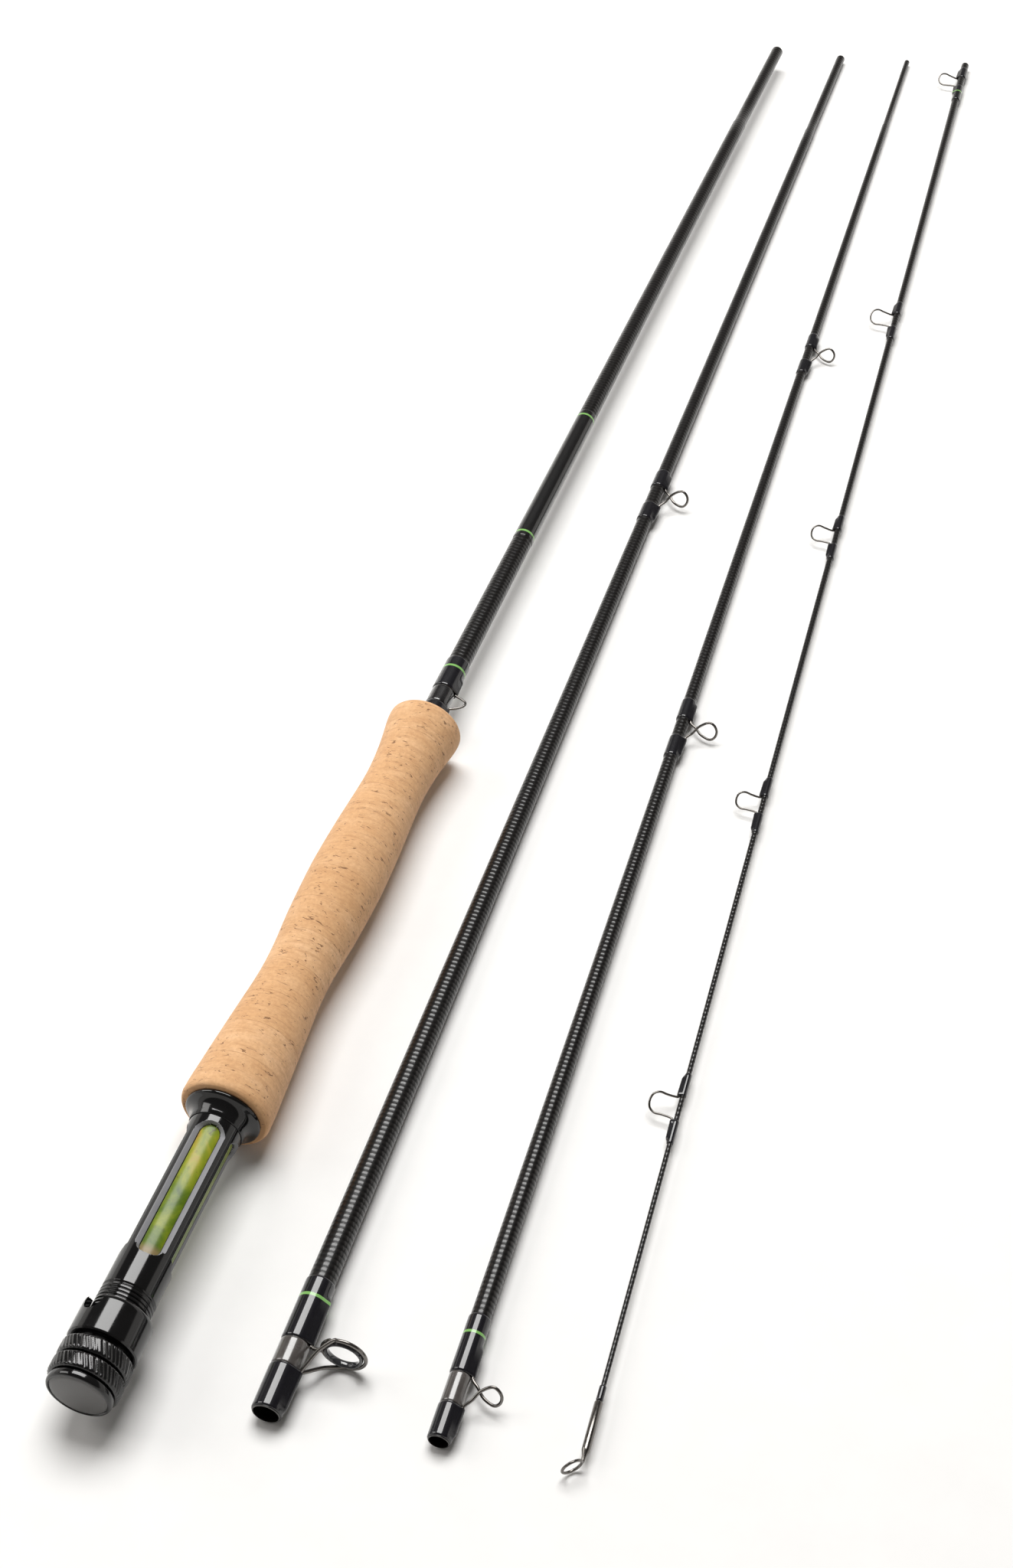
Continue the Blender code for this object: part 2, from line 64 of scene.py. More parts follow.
# How each section lies: its near end on the table, the height of its axis at the near and the
# far end, and its yaw and roll in degrees.
LIES = {
    "butt": ((0.0, 0.0), 0.01433, 0.00864, 0.0, 0.0),
    "lower": ((0.0448, 0.0130), 0.00440, 0.00225, 1.410, -10.0),
    "upper": ((0.0898, 0.0194), 0.00345, 0.00185, 2.630, -10.0),
    "tip": ((0.1267, 0.0225), 0.00325, 0.00255, 3.476, 11.0),
}

# Blanks: outside and bore radius against station.
BUTT_BLANK = [(2.8, 3.90), (262.0, 3.85), (292.0, 3.78), (480.0, 3.25), (661.0, 2.88),
              (662.0, 2.62), (729.0, 2.55)]
LOWER_BLANK = [(0.0, 3.95), (41.0, 3.85), (150.0, 3.50), (300.0, 2.90), (480.0, 2.40),
               (662.0, 2.08), (663.0, 1.90), (729.0, 1.84)]
UPPER_BLANK = [(0.0, 2.95), (40.0, 2.80), (150.0, 2.52), (300.0, 2.12), (480.0, 1.72),
               (671.0, 1.34), (672.0, 1.19), (729.0, 1.14)]
TIP_BLANK = [(9.0, 0.68), (60.0, 0.72), (150.0, 0.80), (250.0, 0.94), (400.0, 1.12),
             (600.0, 1.38), (690.0, 1.56), (729.0, 1.66)]
BUTT_BORE = [(2.8, 2.60), (300.0, 2.50), (729.0, 1.50)]
LOWER_BORE = [(0.0, 3.58), (6.0, 3.46), (6.5, 2.72), (66.0, 2.66), (68.0, 2.30), (600.0, 1.20),
              (729.0, 1.05)]
UPPER_BORE = [(0.0, 2.66), (5.0, 2.56), (5.5, 1.98), (66.0, 1.94), (68.0, 1.60), (500.0, 0.90),
              (729.0, 0.55)]
TIP_BORE = [(9.0, 0.30), (560.0, 0.62), (664.0, 0.70), (666.0, 1.20), (729.0, 1.26)]

# Snake guides: centre station, half gap between wraps, wrap length, loop height, wire radius.
LOWER_SNAKE = (393.9, 4.7, 9.5, 9.6, 0.45)
UPPER_SNAKES = [(272.6, 3.8, 10.0, 9.8, 0.42), (491.9, 4.0, 9.0, 8.6, 0.40)]
TIP_SNAKES = [(118.2, 3.9, 9.0, 7.6, 0.34), (243.2, 3.4, 9.2, 7.3, 0.34),
              (381.8, 3.6, 8.6, 7.4, 0.34), (520.6, 4.0, 8.6, 8.2, 0.34),
              (712.4, 3.4, 8.4, 7.8, 0.34)]

# Thread wraps: walls, the gap between a guide's foot and the blank, and the trim turns' colour.
WRAP_WALL = 0.34
TIP_WRAP_WALL = 0.26
FOOT_GAP = 0.03
TRIM_GREEN = (0.20, 0.44, 0.115)

# Reel seat: radii, stations and widths in millimetres, turns about the axis in degrees.
BARREL_R = 7.80
BARREL_BORE = 5.7
BARREL_ENDS = (29.3, 90.95)
INSERT_R = 6.22
INSERT_BORE = 3.98
WINDOW_COUNT = 4
WINDOW_TURN = -12.0
WINDOW_HALF = 3.18
WINDOW_ENDS = (39.5, 84.0)
WINDOW_CORNERS = (2.5, 2.9)
WINDOW_FLANK_R = 6.9
WINDOW_FLOOR_R = 6.62
WINDOW_LIP = 0.16
WINDOW_BEVEL = 1.10
WINDOW_END_BEVEL = 0.34
THREAD_START = 0.6
THREAD_LENGTH = 28.2
THREAD_PITCH = 1.2
THREAD_CREST = 23.8
THREAD_DEPTH = 0.42
THREAD_ROOT_R = BARREL_R - THREAD_DEPTH
THREAD_BORE = 6.3
NUT_LENGTH = 4.9
NUT_BORE = BARREL_R + 0.12
LOCK_NUT_START = 0.6
JAM_NUT_START = 5.8
FLUTE_COUNT = 46
FLUTE_DEPTH = 0.42
FLUTE_SLANT = 0.052
POCKET_TURN = 123.0

# Grip.
GRIP_START = 92.6
GRIP_END = 259.4
RING_COUNT = 13
GRIP_OUTLINE = [(92.6, 12.9), (94.2, 13.5), (106.0, 12.85), (118.0, 12.0), (130.0, 11.08),
                (139.0, 10.4), (147.0, 10.18), (155.0, 10.42), (166.0, 11.17), (178.0, 11.62),
                (187.0, 11.8), (196.0, 11.62), (208.0, 11.1), (220.0, 10.37), (229.0, 9.98),
                (236.0, 10.12), (244.0, 10.7), (250.0, 11.45), (256.0, 12.25), (258.2, 12.2),
                (259.4, 11.6)]


# ---------------------------------------------------------------- materials

class Nodes:
    """Short hand for building one material's node tree."""

    def __init__(self, name):
        self.mat = bpy.data.materials.new(name)
        self.mat.use_nodes = True
        self.tree = self.mat.node_tree
        self.shader = self.tree.nodes["Principled BSDF"]
        coord = self.tree.nodes.new("ShaderNodeTexCoord")
        self.place = coord.outputs["Object"]

    def link(self, value, socket):
        if isinstance(value, bpy.types.NodeSocket):
            self.tree.links.new(value, socket)
        else:
            socket.default_value = value

    def set(self, **values):
        for key, value in values.items():
            self.link(value, self.shader.inputs[key.replace("_", " ")])

    def stretch(self, scale):
        node = self.tree.nodes.new("ShaderNodeMapping")
        node.inputs["Scale"].default_value = scale
        self.link(self.place, node.inputs["Vector"])
        return node.outputs["Vector"]

    def noise(self, scale, detail=3.0, rough=0.55, where=None, distort=0.0):
        node = self.tree.nodes.new("ShaderNodeTexNoise")
        self.link(where or self.place, node.inputs["Vector"])
        node.inputs["Scale"].default_value = scale
        node.inputs["Detail"].default_value = detail
        node.inputs["Roughness"].default_value = rough
        node.inputs["Distortion"].default_value = distort
        return node.outputs["Fac"]

    def cells(self, scale, where=None):
        node = self.tree.nodes.new("ShaderNodeTexVoronoi")
        self.link(where or self.place, node.inputs["Vector"])
        node.inputs["Scale"].default_value = scale
        return node.outputs["Distance"]

    def bands(self, scale, distort=0.0):
        """Rings round the section's axis."""
        node = self.tree.nodes.new("ShaderNodeTexWave")
        node.wave_type = "BANDS"
        node.bands_direction = "Y"
        self.link(self.place, node.inputs["Vector"])
        node.inputs["Scale"].default_value = scale
        node.inputs["Distortion"].default_value = distort
        node.inputs["Detail"].default_value = 2.0
        return node.outputs["Fac"]

    def ramp(self, value, stops):
        node = self.tree.nodes.new("ShaderNodeValToRGB")
        ramp = node.color_ramp
        while len(ramp.elements) < len(stops):
            ramp.elements.new(0.5)
        for element, (at, colour) in zip(ramp.elements, stops):
            element.position = at
            element.color = (*colour, 1.0)
        self.link(value, node.inputs["Fac"])
        return node.outputs["Color"]

    def span(self, value, low, high, to_low=0.0, to_high=1.0):
        node = self.tree.nodes.new("ShaderNodeMapRange")
        self.link(value, node.inputs["Value"])
        numbers = {"From Min": low, "From Max": high, "To Min": to_low, "To Max": to_high}
        for key, number in numbers.items():
            node.inputs[key].default_value = number
        return node.outputs["Result"]

    def math(self, kind, a, b=0.0):
        node = self.tree.nodes.new("ShaderNodeMath")
        node.operation = kind
        self.link(a, node.inputs[0])
        self.link(b, node.inputs[1])
        return node.outputs[0]

    def mix(self, share, a, b, kind="MIX"):
        node = self.tree.nodes.new("ShaderNodeMix")
        node.data_type = "RGBA"
        node.blend_type = kind
        self.link(share, node.inputs["Factor"])
        self.link((*a, 1.0) if isinstance(a, tuple) else a, node.inputs["A"])
        self.link((*b, 1.0) if isinstance(b, tuple) else b, node.inputs["B"])
        return node.outputs["Result"]

    def along(self):
        """Station along the section, metres."""
        node = self.tree.nodes.new("ShaderNodeSeparateXYZ")
        self.link(self.place, node.inputs["Vector"])
        return node.outputs["Y"]

    def bump(self, height, strength, distance, under=None):
        node = self.tree.nodes.new("ShaderNodeBump")
        node.inputs["Strength"].default_value = strength
        node.inputs["Distance"].default_value = distance
        self.link(height, node.inputs["Height"])
        if under is not None:
            self.link(under, node.inputs["Normal"])
        return node.outputs["Normal"]

    def between(self, low, high, soft=0.05):
        """One between two stations in millimetres, else zero."""
        y = self.along()
        rise = self.span(y, (low - soft) * MM, (low + soft) * MM)
        fall = self.span(y, (high - soft) * MM, (high + soft) * MM, 1.0, 0.0)
        return self.math("MULTIPLY", rise, fall)


def anodised(name, base=0.0030, rough=0.09):
    """Black anodised aluminium with fine turning marks."""
    n = Nodes(name)
    smear = n.noise(140.0, 4.0, 0.6)
    turned = n.bands(420.0, 0.4)
    colour = n.ramp(smear, [(0.3, (base, base, base * 1.05)),
                            (0.75, (base * 1.7, base * 1.65, base * 1.8))])
    n.set(Base_Color=colour, Roughness=n.span(smear, 0.3, 0.7, rough - 0.02, rough + 0.05),
          Specular_IOR_Level=0.55)
    n.set(Normal=n.bump(n.math("ADD", n.math("MULTIPLY", turned, 0.4), smear), 0.02, 0.00004))
    return n.mat


def cap_face():
    """Satin face of the butt cap."""
    n = Nodes("cap_satin")
    grit = n.noise(2600.0, 3.0, 0.7)
    cloud = n.noise(160.0, 3.0)
    n.set(Base_Color=n.ramp(cloud, [(0.3, (0.092, 0.090, 0.088)), (0.7, (0.112, 0.110, 0.107))]),
          Metallic=0.2)
    n.set(Roughness=n.span(cloud, 0.3, 0.7, 0.34, 0.46), Normal=n.bump(grit, 0.18, 0.00006))
    return n.mat


def burl():
    """Green burl, tan at the near end of the windows."""
    n = Nodes("burl_insert")
    figure = n.noise(120.0, 5.0, 0.58, n.stretch((1.0, 0.55, 1.0)), 0.5)
    green = n.ramp(figure, [(0.30, (0.034, 0.075, 0.003)), (0.43, (0.105, 0.165, 0.005)),
                            (0.55, (0.215, 0.255, 0.010)), (0.64, (0.330, 0.300, 0.020)),
                            (0.74, (0.380, 0.215, 0.045))])
    speck = n.span(n.cells(420.0, n.stretch((1.0, 0.6, 1.0))), 0.10, 0.20, 1.0, 0.0)
    veins = n.span(n.noise(380.0, 4.0, 0.65, None, 1.0), 0.63, 0.74)
    dark = n.math("MULTIPLY", n.math("MAXIMUM", n.math("MULTIPLY", speck, 0.4), veins), 0.75)
    colour = n.mix(dark, green, (0.075, 0.050, 0.014))
    near_end = n.span(n.along(), 0.0432, 0.0412)
    colour = n.mix(n.math("MULTIPLY", near_end, 0.75), colour, (0.26, 0.17, 0.085))
    n.set(Base_Color=colour, Roughness=n.span(figure, 0.3, 0.7, 0.34, 0.44),
          Specular_IOR_Level=0.22)
    n.set(Coat_Weight=0.30, Coat_Roughness=0.22)
    n.set(Normal=n.bump(figure, 0.12, 0.0002))
    return n.mat


def cork():
    """Cork with a tone of its own for each ring, glue seams, growth lines, pits and cracks."""
    n = Nodes("cork")
    pitch = (GRIP_END - GRIP_START) * MM / RING_COUNT
    count = n.math("DIVIDE", n.math("SUBTRACT", n.along(), GRIP_START * MM), pitch)
    ring = n.math("FLOOR", count)
    tone = n.tree.nodes.new("ShaderNodeTexWhiteNoise")
    tone.noise_dimensions = "1D"
    n.link(ring, tone.inputs["W"])
    cloud = n.noise(95.0, 4.0, 0.6, n.stretch((1.0, 2.2, 1.0)))
    grain = n.noise(900.0, 5.0, 0.7)
    base = n.ramp(cloud, [(0.25, (0.62, 0.345, 0.165)), (0.50, (0.72, 0.435, 0.225)),
                          (0.78, (0.80, 0.515, 0.295))])
    base = n.mix(n.math("MULTIPLY", tone.outputs["Value"], 0.55), base, (0.62, 0.345, 0.155))
    base = n.mix(n.span(grain, 0.40, 0.62, 0.30, 0.0), base, (0.42, 0.20, 0.080))
    growth = n.noise(330.0, 4.0, 0.6, n.stretch((0.35, 3.0, 0.35)), 0.6)
    base = n.mix(n.span(growth, 0.50, 0.66, 0.0, 0.42), base, (0.46, 0.235, 0.100))
    edge = n.math("ABSOLUTE", n.math("SUBTRACT", n.math("FRACT", count), 0.5))
    base = n.mix(n.span(edge, 0.488, 0.499, 0.0, 0.45), base, (0.40, 0.20, 0.085))
    pits = n.span(n.noise(430.0, 3.0, 0.5, n.stretch((1.0, 2.6, 1.0)), 1.0), 0.635, 0.675)
    cracks = n.span(n.noise(260.0, 5.0, 0.75, n.stretch((0.7, 2.2, 0.7)), 3.0), 0.665, 0.700)
    holes = n.math("MAXIMUM", pits, cracks)
    base = n.mix(n.math("MULTIPLY", holes, 0.8), base, (0.16, 0.070, 0.028))
    height = n.math("SUBTRACT", n.math("MULTIPLY", grain, 0.35), holes)
    n.set(Base_Color=base, Roughness=n.span(grain, 0.3, 0.7, 0.72, 0.88), Specular_IOR_Level=0.25)
    n.set(Sheen_Weight=0.12, Sheen_Roughness=0.6, Normal=n.bump(height, 0.42, 0.00022))
    return n.mat


def graphite():
    """Dark composite with the low ridges left by its winding tape."""
    n = Nodes("graphite")
    tape = n.bands(190.0, 1.0)
    fine = n.noise(1500.0, 3.0, 0.6, n.stretch((1.0, 0.15, 1.0)))
    patch = n.noise(70.0, 3.0, 0.5, n.stretch((1.0, 0.5, 1.0)))
    # The tape's ridges are painted lighter than the hollows between them: a painted highlight
    # along each ridge.
    colour = n.ramp(tape, [(0.20, (0.0028, 0.0024, 0.0023)), (0.85, (0.0080, 0.0066, 0.0058))])
    colour = n.mix(n.math("MULTIPLY", patch, 0.5), colour, (0.0055, 0.0048, 0.0050))
    n.set(Base_Color=colour, Roughness=n.span(fine, 0.3, 0.7, 0.30, 0.38), Specular_IOR_Level=0.20)
    n.set(Coat_Weight=n.span(tape, 0.12, 0.42, 0.06, 0.65), Coat_Roughness=0.13)
    ridged = n.bump(tape, 0.45, 0.00010, n.bump(fine, 0.06, 0.00003))
    n.set(Normal=ridged, Coat_Normal=ridged)
    return n.mat


def winding(name, trims=(), base=(0.0024, 0.0022, 0.0046)):
    """Thread under a glossy clear coat. trims are thin contrast turns at (start, end)."""
    n = Nodes(name)
    turns = n.bands(1250.0, 0.3)
    cloud = n.noise(300.0, 3.0)
    lit = tuple(min(1.0, c * 1.9) for c in base)
    colour = n.mix(n.math("MULTIPLY", turns, 0.55), base, lit)
    colour = n.mix(n.math("MULTIPLY", cloud, 0.25), colour, (0.0015, 0.0015, 0.0022))
    for low, high in trims:
        colour = n.mix(n.between(low, high), colour, TRIM_GREEN)
    n.set(Base_Color=colour, Roughness=n.span(cloud, 0.3, 0.7, 0.34, 0.48),
          Specular_IOR_Level=0.12, Coat_Weight=1.0)
    n.set(Coat_Roughness=n.span(cloud, 0.3, 0.7, 0.03, 0.07), Coat_IOR=1.55)
    n.set(Normal=n.bump(turns, 0.30, 0.00004))
    return n.mat


def clear_coat(name, low=(0.058, 0.051, 0.047), high=(0.085, 0.076, 0.071)):
    """Epoxy over the blank in the gap between two wraps."""
    n = Nodes(name)
    cloud = n.noise(260.0, 3.0)
    n.set(Base_Color=n.ramp(cloud, [(0.3, low), (0.7, high)]))
    n.set(Roughness=n.span(cloud, 0.3, 0.7, 0.20, 0.30), Coat_Weight=1.0, Coat_Roughness=0.04)
    n.set(Normal=n.bump(cloud, 0.10, 0.0002))
    return n.mat


def wire():
    """Drawn steel of the guides."""
    n = Nodes("guide_wire")
    drawn = n.noise(900.0, 3.0, 0.6)
    cloud = n.noise(170.0, 3.0)
    tint = (0.16, 0.150, 0.14)
    pale = tuple(c * 1.25 for c in tint)
    n.set(Base_Color=n.ramp(cloud, [(0.3, tint), (0.7, pale)]), Metallic=1.0)
    n.set(Roughness=n.span(drawn, 0.3, 0.7, 0.14, 0.26), Normal=n.bump(drawn, 0.08, 0.00004))
    return n.mat


def ceramic():
    """Polished ring of the stripping guide."""
    n = Nodes("ring_ceramic")
    cloud = n.noise(400.0, 3.0)
    n.set(Base_Color=n.ramp(cloud, [(0.3, (0.020, 0.020, 0.022)), (0.7, (0.034, 0.034, 0.037))]))
    n.set(Roughness=n.span(cloud, 0.3, 0.7, 0.08, 0.14), Coat_Weight=0.6, Coat_Roughness=0.03)
    n.set(Normal=n.bump(cloud, 0.05, 0.00008))
    return n.mat


def bevel_painted_reflection():
    """Machined flanks of the seat's windows, painted mid-grey: a painted reflection of the pale
    table.
    """
    n = Nodes("window_bevel_painted_reflection")
    cut = n.bands(700.0, 0.5)
    cloud = n.noise(200.0, 3.0)
    n.set(Base_Color=n.ramp(cloud, [(0.3, (0.20, 0.200, 0.212)), (0.7, (0.235, 0.235, 0.248))]),
          Specular_IOR_Level=0.3)
    n.set(Roughness=n.span(cloud, 0.3, 0.7, 0.46, 0.54), Normal=n.bump(cut, 0.08, 0.00004))
    return n.mat


def raw_cut_and_highlight():
    """Cut end of a blank: the raw cut's grey, painted lighter as a highlight on the rim."""
    n = Nodes("raw_cut_and_highlight")
    cloud = n.noise(900.0, 3.0)
    n.set(Base_Color=n.ramp(cloud, [(0.3, (0.06, 0.058, 0.056)), (0.7, (0.10, 0.097, 0.094))]),
          Metallic=0.3)
    n.set(Roughness=n.span(cloud, 0.3, 0.7, 0.25, 0.35), Normal=n.bump(cloud, 0.1, 0.00005))
    return n.mat


def paper():
    """White table top."""
    n = Nodes("floor_sweep")
    fibre = n.noise(60.0, 5.0, 0.6)
    n.set(Base_Color=n.ramp(fibre, [(0.3, (0.86, 0.855, 0.845)), (0.7, (0.885, 0.88, 0.87))]))
    n.set(Roughness=0.75, Specular_IOR_Level=0.2, Normal=n.bump(fibre, 0.02, 0.0005))
    return n.mat


# ---------------------------------------------------------------- shapes

def section_matrix(name):
    """Where a section's own frame lies in the world."""
    (x, y), near, far, yaw, roll = LIES[name]
    drop = math.asin((near - far) / SECTION_LENGTH)
    turn = Euler((-drop, math.radians(roll), math.radians(yaw)), "YXZ").to_matrix().to_4x4()
    place = Vector((x, y, near)) + Vector(LAYOUT_ORIGIN)
    return Matrix.Translation(place) @ turn


def mesh_from(name, shape):
    """Mesh in metres from points in millimetres, its faces turned outwards."""
    verts, faces = shape
    mesh = bpy.data.meshes.new(name)
    mesh.from_pydata([tuple(c * MM for c in v) for v in verts], [], faces)
    bm = bmesh.new()
    bm.from_mesh(mesh)
    bmesh.ops.recalc_face_normals(bm, faces=bm.faces)
    bm.to_mesh(mesh)
    bm.free()
    return mesh


def new_object(name, data):
    obj = bpy.data.objects.new(name, data)
    bpy.context.scene.collection.objects.link(obj)
    return obj


def add(name, shape, mats, section, body, nodes=(), sharp=32.0, pick=None):
    """One visible piece in its section's frame; pick says which material each face takes."""
    mesh = mesh_from(name, shape)
    for mat in mats if isinstance(mats, (list, tuple)) else [mats]:
        mesh.materials.append(mat)
    if pick:
        for face in mesh.polygons:
            face.material_index = pick(face.center / MM, face.normal)
    mesh.shade_smooth()
    mesh.set_sharp_from_angle(angle=math.radians(sharp))
    obj = new_object(name, mesh)
    obj.matrix_world = section_matrix(section)
    if nodes:
        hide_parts(*nodes)
    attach(obj, body)
    return obj


def radius_at(table, y):
    """Radius of an outline drawn straight from point to point."""
    if y <= table[0][0]:
        return table[0][1]
    for (y0, r0), (y1, r1) in zip(table, table[1:]):
        if y <= y1:
            return r0 + (r1 - r0) * (y - y0) / (y1 - y0)
    return table[-1][1]


def smooth_at(table, y):
    """Radius of an outline rounded through its points."""
    count = len(table)
    slopes = []
    for i in range(count):
        a = table[max(i - 1, 0)]
        b = table[min(i + 1, count - 1)]
        slopes.append((b[1] - a[1]) / (b[0] - a[0]))
    if y <= table[0][0]:
        return table[0][1]
    for i in range(count - 1):
        y0, r0 = table[i]
        y1, r1 = table[i + 1]
        if y <= y1:
            span = y1 - y0
            t = (y - y0) / span
            a = 2 * t ** 3 - 3 * t ** 2 + 1
            b = t ** 3 - 2 * t ** 2 + t
            c = -2 * t ** 3 + 3 * t ** 2
            d = t ** 3 - t ** 2
            return a * r0 + b * span * slopes[i] + c * r1 + d * span * slopes[i + 1]
    return table[-1][1]


def bridge(count, total, closed):
    """Faces between rings of count points each."""
    faces = []
    for i in range(total if closed else total - 1):
        a = i * count
        b = ((i + 1) % total) * count
        for j in range(count):
            k = (j + 1) % count
            faces.append((a + j, a + k, b + k, b + j))
    return faces


def loop_rings(rings):
    """Rings joined on from the last to the first."""
    verts = [p for ring in rings for p in ring]
    return verts, bridge(len(rings[0]), len(rings), True)


def open_rings(rings):
    """Rings closed by a flat face at each end."""
    count = len(rings[0])
    verts = [p for ring in rings for p in ring]
    faces = bridge(count, len(rings), False)
    faces.append(tuple(range(count)))
    last = (len(rings) - 1) * count
    faces.append(tuple(range(last + count - 1, last - 1, -1)))
    return verts, faces


def circle(y, r, sides):
    return [(r * math.cos(2 * math.pi * j / sides), y, r * math.sin(2 * math.pi * j / sides))
            for j in range(sides)]


def turned(outer, inner, sides=72):
    """Turned piece with a through bore."""
    return loop_rings([circle(y, r, sides) for y, r in outer + inner[::-1]])


def curve(points, per=6):
    """Catmull-Rom points through a wire's path."""
    out = []
    vs = [Vector(p) for p in points]
    for i in range(len(vs) - 1):
        a = vs[max(i - 1, 0)]
        b = vs[i]
        c = vs[i + 1]
        d = vs[min(i + 2, len(vs) - 1)]
        for s in range(per):
            t = s / per
            out.append(0.5 * (2 * b + (c - a) * t + (2 * a - 5 * b + 4 * c - d) * t * t
                              + (3 * b - a - 3 * c + d) * t ** 3))
    out.append(vs[-1])
    return out


def sweep(points, radii, sides=14, closed=False):
    """Round wire along points, with a steadily carried frame."""
    total = len(points)
    rings = []
    up = None
    for i, point in enumerate(points):
        ahead = points[(i + 1) % total] if closed else points[min(i + 1, total - 1)]
        behind = points[i - 1] if closed else points[max(i - 1, 0)]
        tangent = (ahead - behind).normalized()
        if up is None:
            up = Vector((0.0, 0.0, 1.0))
            if abs(tangent.dot(up)) > 0.9:
                up = Vector((1.0, 0.0, 0.0))
        side = tangent.cross(up).normalized()
        up = side.cross(tangent).normalized()
        r = radii if isinstance(radii, float) else radii[i]
        rings.append([tuple(point + (side * math.cos(a) + up * math.sin(a)) * r)
                      for a in (2 * math.pi * j / sides for j in range(sides))])
    return loop_rings(rings) if closed else open_rings(rings)


def tent(theta, blank_r, wire_r, grow):
    """Outline of thread pulled over a round blank and a wire lying on it."""
    theta = abs(math.atan2(math.sin(theta), math.cos(theta)))
    big = blank_r + grow
    if wire_r < 0.02:
        return big
    dist = blank_r + FOOT_GAP + wire_r
    small = wire_r + grow
    phi = math.acos(max(-1.0, min(1.0, (big - small) / dist)))
    touch = math.atan2(small * math.sin(phi), dist + small * math.cos(phi))
    if theta < touch:
        reach = math.sqrt(max(0.0, small ** 2 - (dist * math.sin(theta)) ** 2))
        return dist * math.cos(theta) + reach
    if theta < phi:
        return max(big, big / math.cos(theta - phi))
    return big


def wrap_shape(table, start, end, foot_end, wire_r, side, wall, sides=72):
    """Thread and coat over a guide foot, full at the mouth and down on the blank past the foot."""
    length = abs(end - start)
    steps = max(16, int(length / 0.4))
    way = 1.0 if end > start else -1.0
    reach = abs(foot_end - start)
    outer = []
    inner = []
    stations = []
    for i in range(steps + 1):
        t = i / steps
        stations.append(length * (0.5 - 0.5 * math.cos(math.pi * t)) * 0.5 + length * t * 0.5)
    for s in stations:
        y = start + way * s
        edge = min(s, length - s)
        swell = math.sqrt(max(0.0, 1.0 - (1.0 - min(edge / 0.7, 1.0)) ** 2))
        # The foot is ground down towards its end, and the thread closes over its tip.
        w = wire_r * (1.0 - 0.25 * min(1.0, s / max(reach, 0.1)))
        if wire_r and s > reach - 0.4:
            left = max(0.0, 1.0 - (s - reach + 0.4) / max(0.8, min(length - reach, 2.4)))
            w = wire_r * 0.75 * left * left * (3 - 2 * left)
        r = radius_at(table, y)
        ring_o = []
        ring_i = []
        for j in range(sides):
            t = 2 * math.pi * j / sides
            # Points stand closer together over the wire.
            a = t - 0.55 * math.sin(t)
            turn = a if side > 0 else a + math.pi
            ro = tent(a, r, w, 0.02 + wall * swell)
            ri = tent(a, r, w, 0.012)
            ring_o.append((ro * math.cos(turn), y, ro * math.sin(turn)))
            ring_i.append((ri * math.cos(turn), y, ri * math.sin(turn)))
        outer.append(ring_o)
        inner.append(ring_i)
    return loop_rings(outer + inner[::-1])


def snake_path(table, centre, half_gap, foot_len, height, wire_r, side):
    """Foot, leg, eye and down to the second foot. The legs cross except on the tip's guides."""
    y0 = centre - half_gap
    y1 = centre + half_gap
    seat = FOOT_GAP + wire_r
    near = radius_at(table, y0 - foot_len) + seat
    base = radius_at(table, centre) + seat
    far = radius_at(table, y1 + foot_len) + seat
    eye = height * 0.27
    lean = height * 0.12
    half = [(0.0, -half_gap - 1.2, 0.0), (0.0, -half_gap - 0.4, 0.0),
            (0.04 * height, -half_gap + 0.35, 0.02 * height),
            (0.21 * height, -0.55 * half_gap, 0.24 * eye),
            (0.42 * height, -0.12 * half_gap + 0.3 * lean, 0.72 * eye),
            (height - eye, lean, eye), (height - 0.29 * eye, 0.7 * lean, 0.71 * eye)]
    if side < 0:
        # An open arch, as on the tip.
        half = [(0.0, -half_gap - 1.2, 0.0), (0.0, -half_gap - 0.2, 0.0),
                (0.16 * height, -half_gap + 0.35, -0.04 * height),
                (0.45 * height, -0.78 * half_gap, -0.12 * height),
                (0.72 * height, -0.74 * half_gap, -0.17 * height),
                (0.93 * height, -0.46 * half_gap, -0.13 * height)]
    path = half + [(height, 0.0, 0.0)] + [(x, -y, -z) for x, y, z in reversed(half)]
    bent = curve([(side * (base + x), centre + y, z) for x, y, z in path], 5)
    points = [Vector((side * near, y0 - foot_len, 0.0)), *bent,
              Vector((side * far, y1 + foot_len, 0.0))]
    return points, [wire_r * 0.6] + [wire_r] * len(bent) + [wire_r * 0.6]


# ---------------------------------------------------------------- the materials used

BLACK = anodised("anodised_gloss")
NUT_BLACK = anodised("anodised_nuts", 0.0035, 0.14)
SATIN = cap_face()
BEVEL = bevel_painted_reflection()
BURL = burl()
CORK = cork()
GRAPHITE = graphite()
THREAD = winding("winding")
EPOXY = clear_coat("clear_coat")
DARK_EPOXY = clear_coat("clear_coat_dark", (0.006, 0.0055, 0.006), (0.011, 0.010, 0.011))
WIRE = wire()
RING = ceramic()
END = raw_cut_and_highlight()


# ---------------------------------------------------------------- reel seat

def window_distance(theta, y):
    """Distance from the nearest window's lower edge, over the insert; negative inside."""
    pitch = 2.0 * math.pi / WINDOW_COUNT
    turn = math.radians(90.0 + WINDOW_TURN)
    off = (theta - turn + pitch / 2.0) % pitch - pitch / 2.0
    u = abs(off) * WINDOW_FLANK_R
    low, high = WINDOW_ENDS
    middle = 0.5 * (low + high)
    corner = WINDOW_CORNERS[1] if y > middle else WINDOW_CORNERS[0]
    half = 0.5 * (high - low)
    qx = u - (WINDOW_HALF - corner)
    qy = abs(y - middle) - (half - corner)
    outside = math.hypot(max(qx, 0.0), max(qy, 0.0))
    return outside + min(max(qx, qy), 0.0) - corner


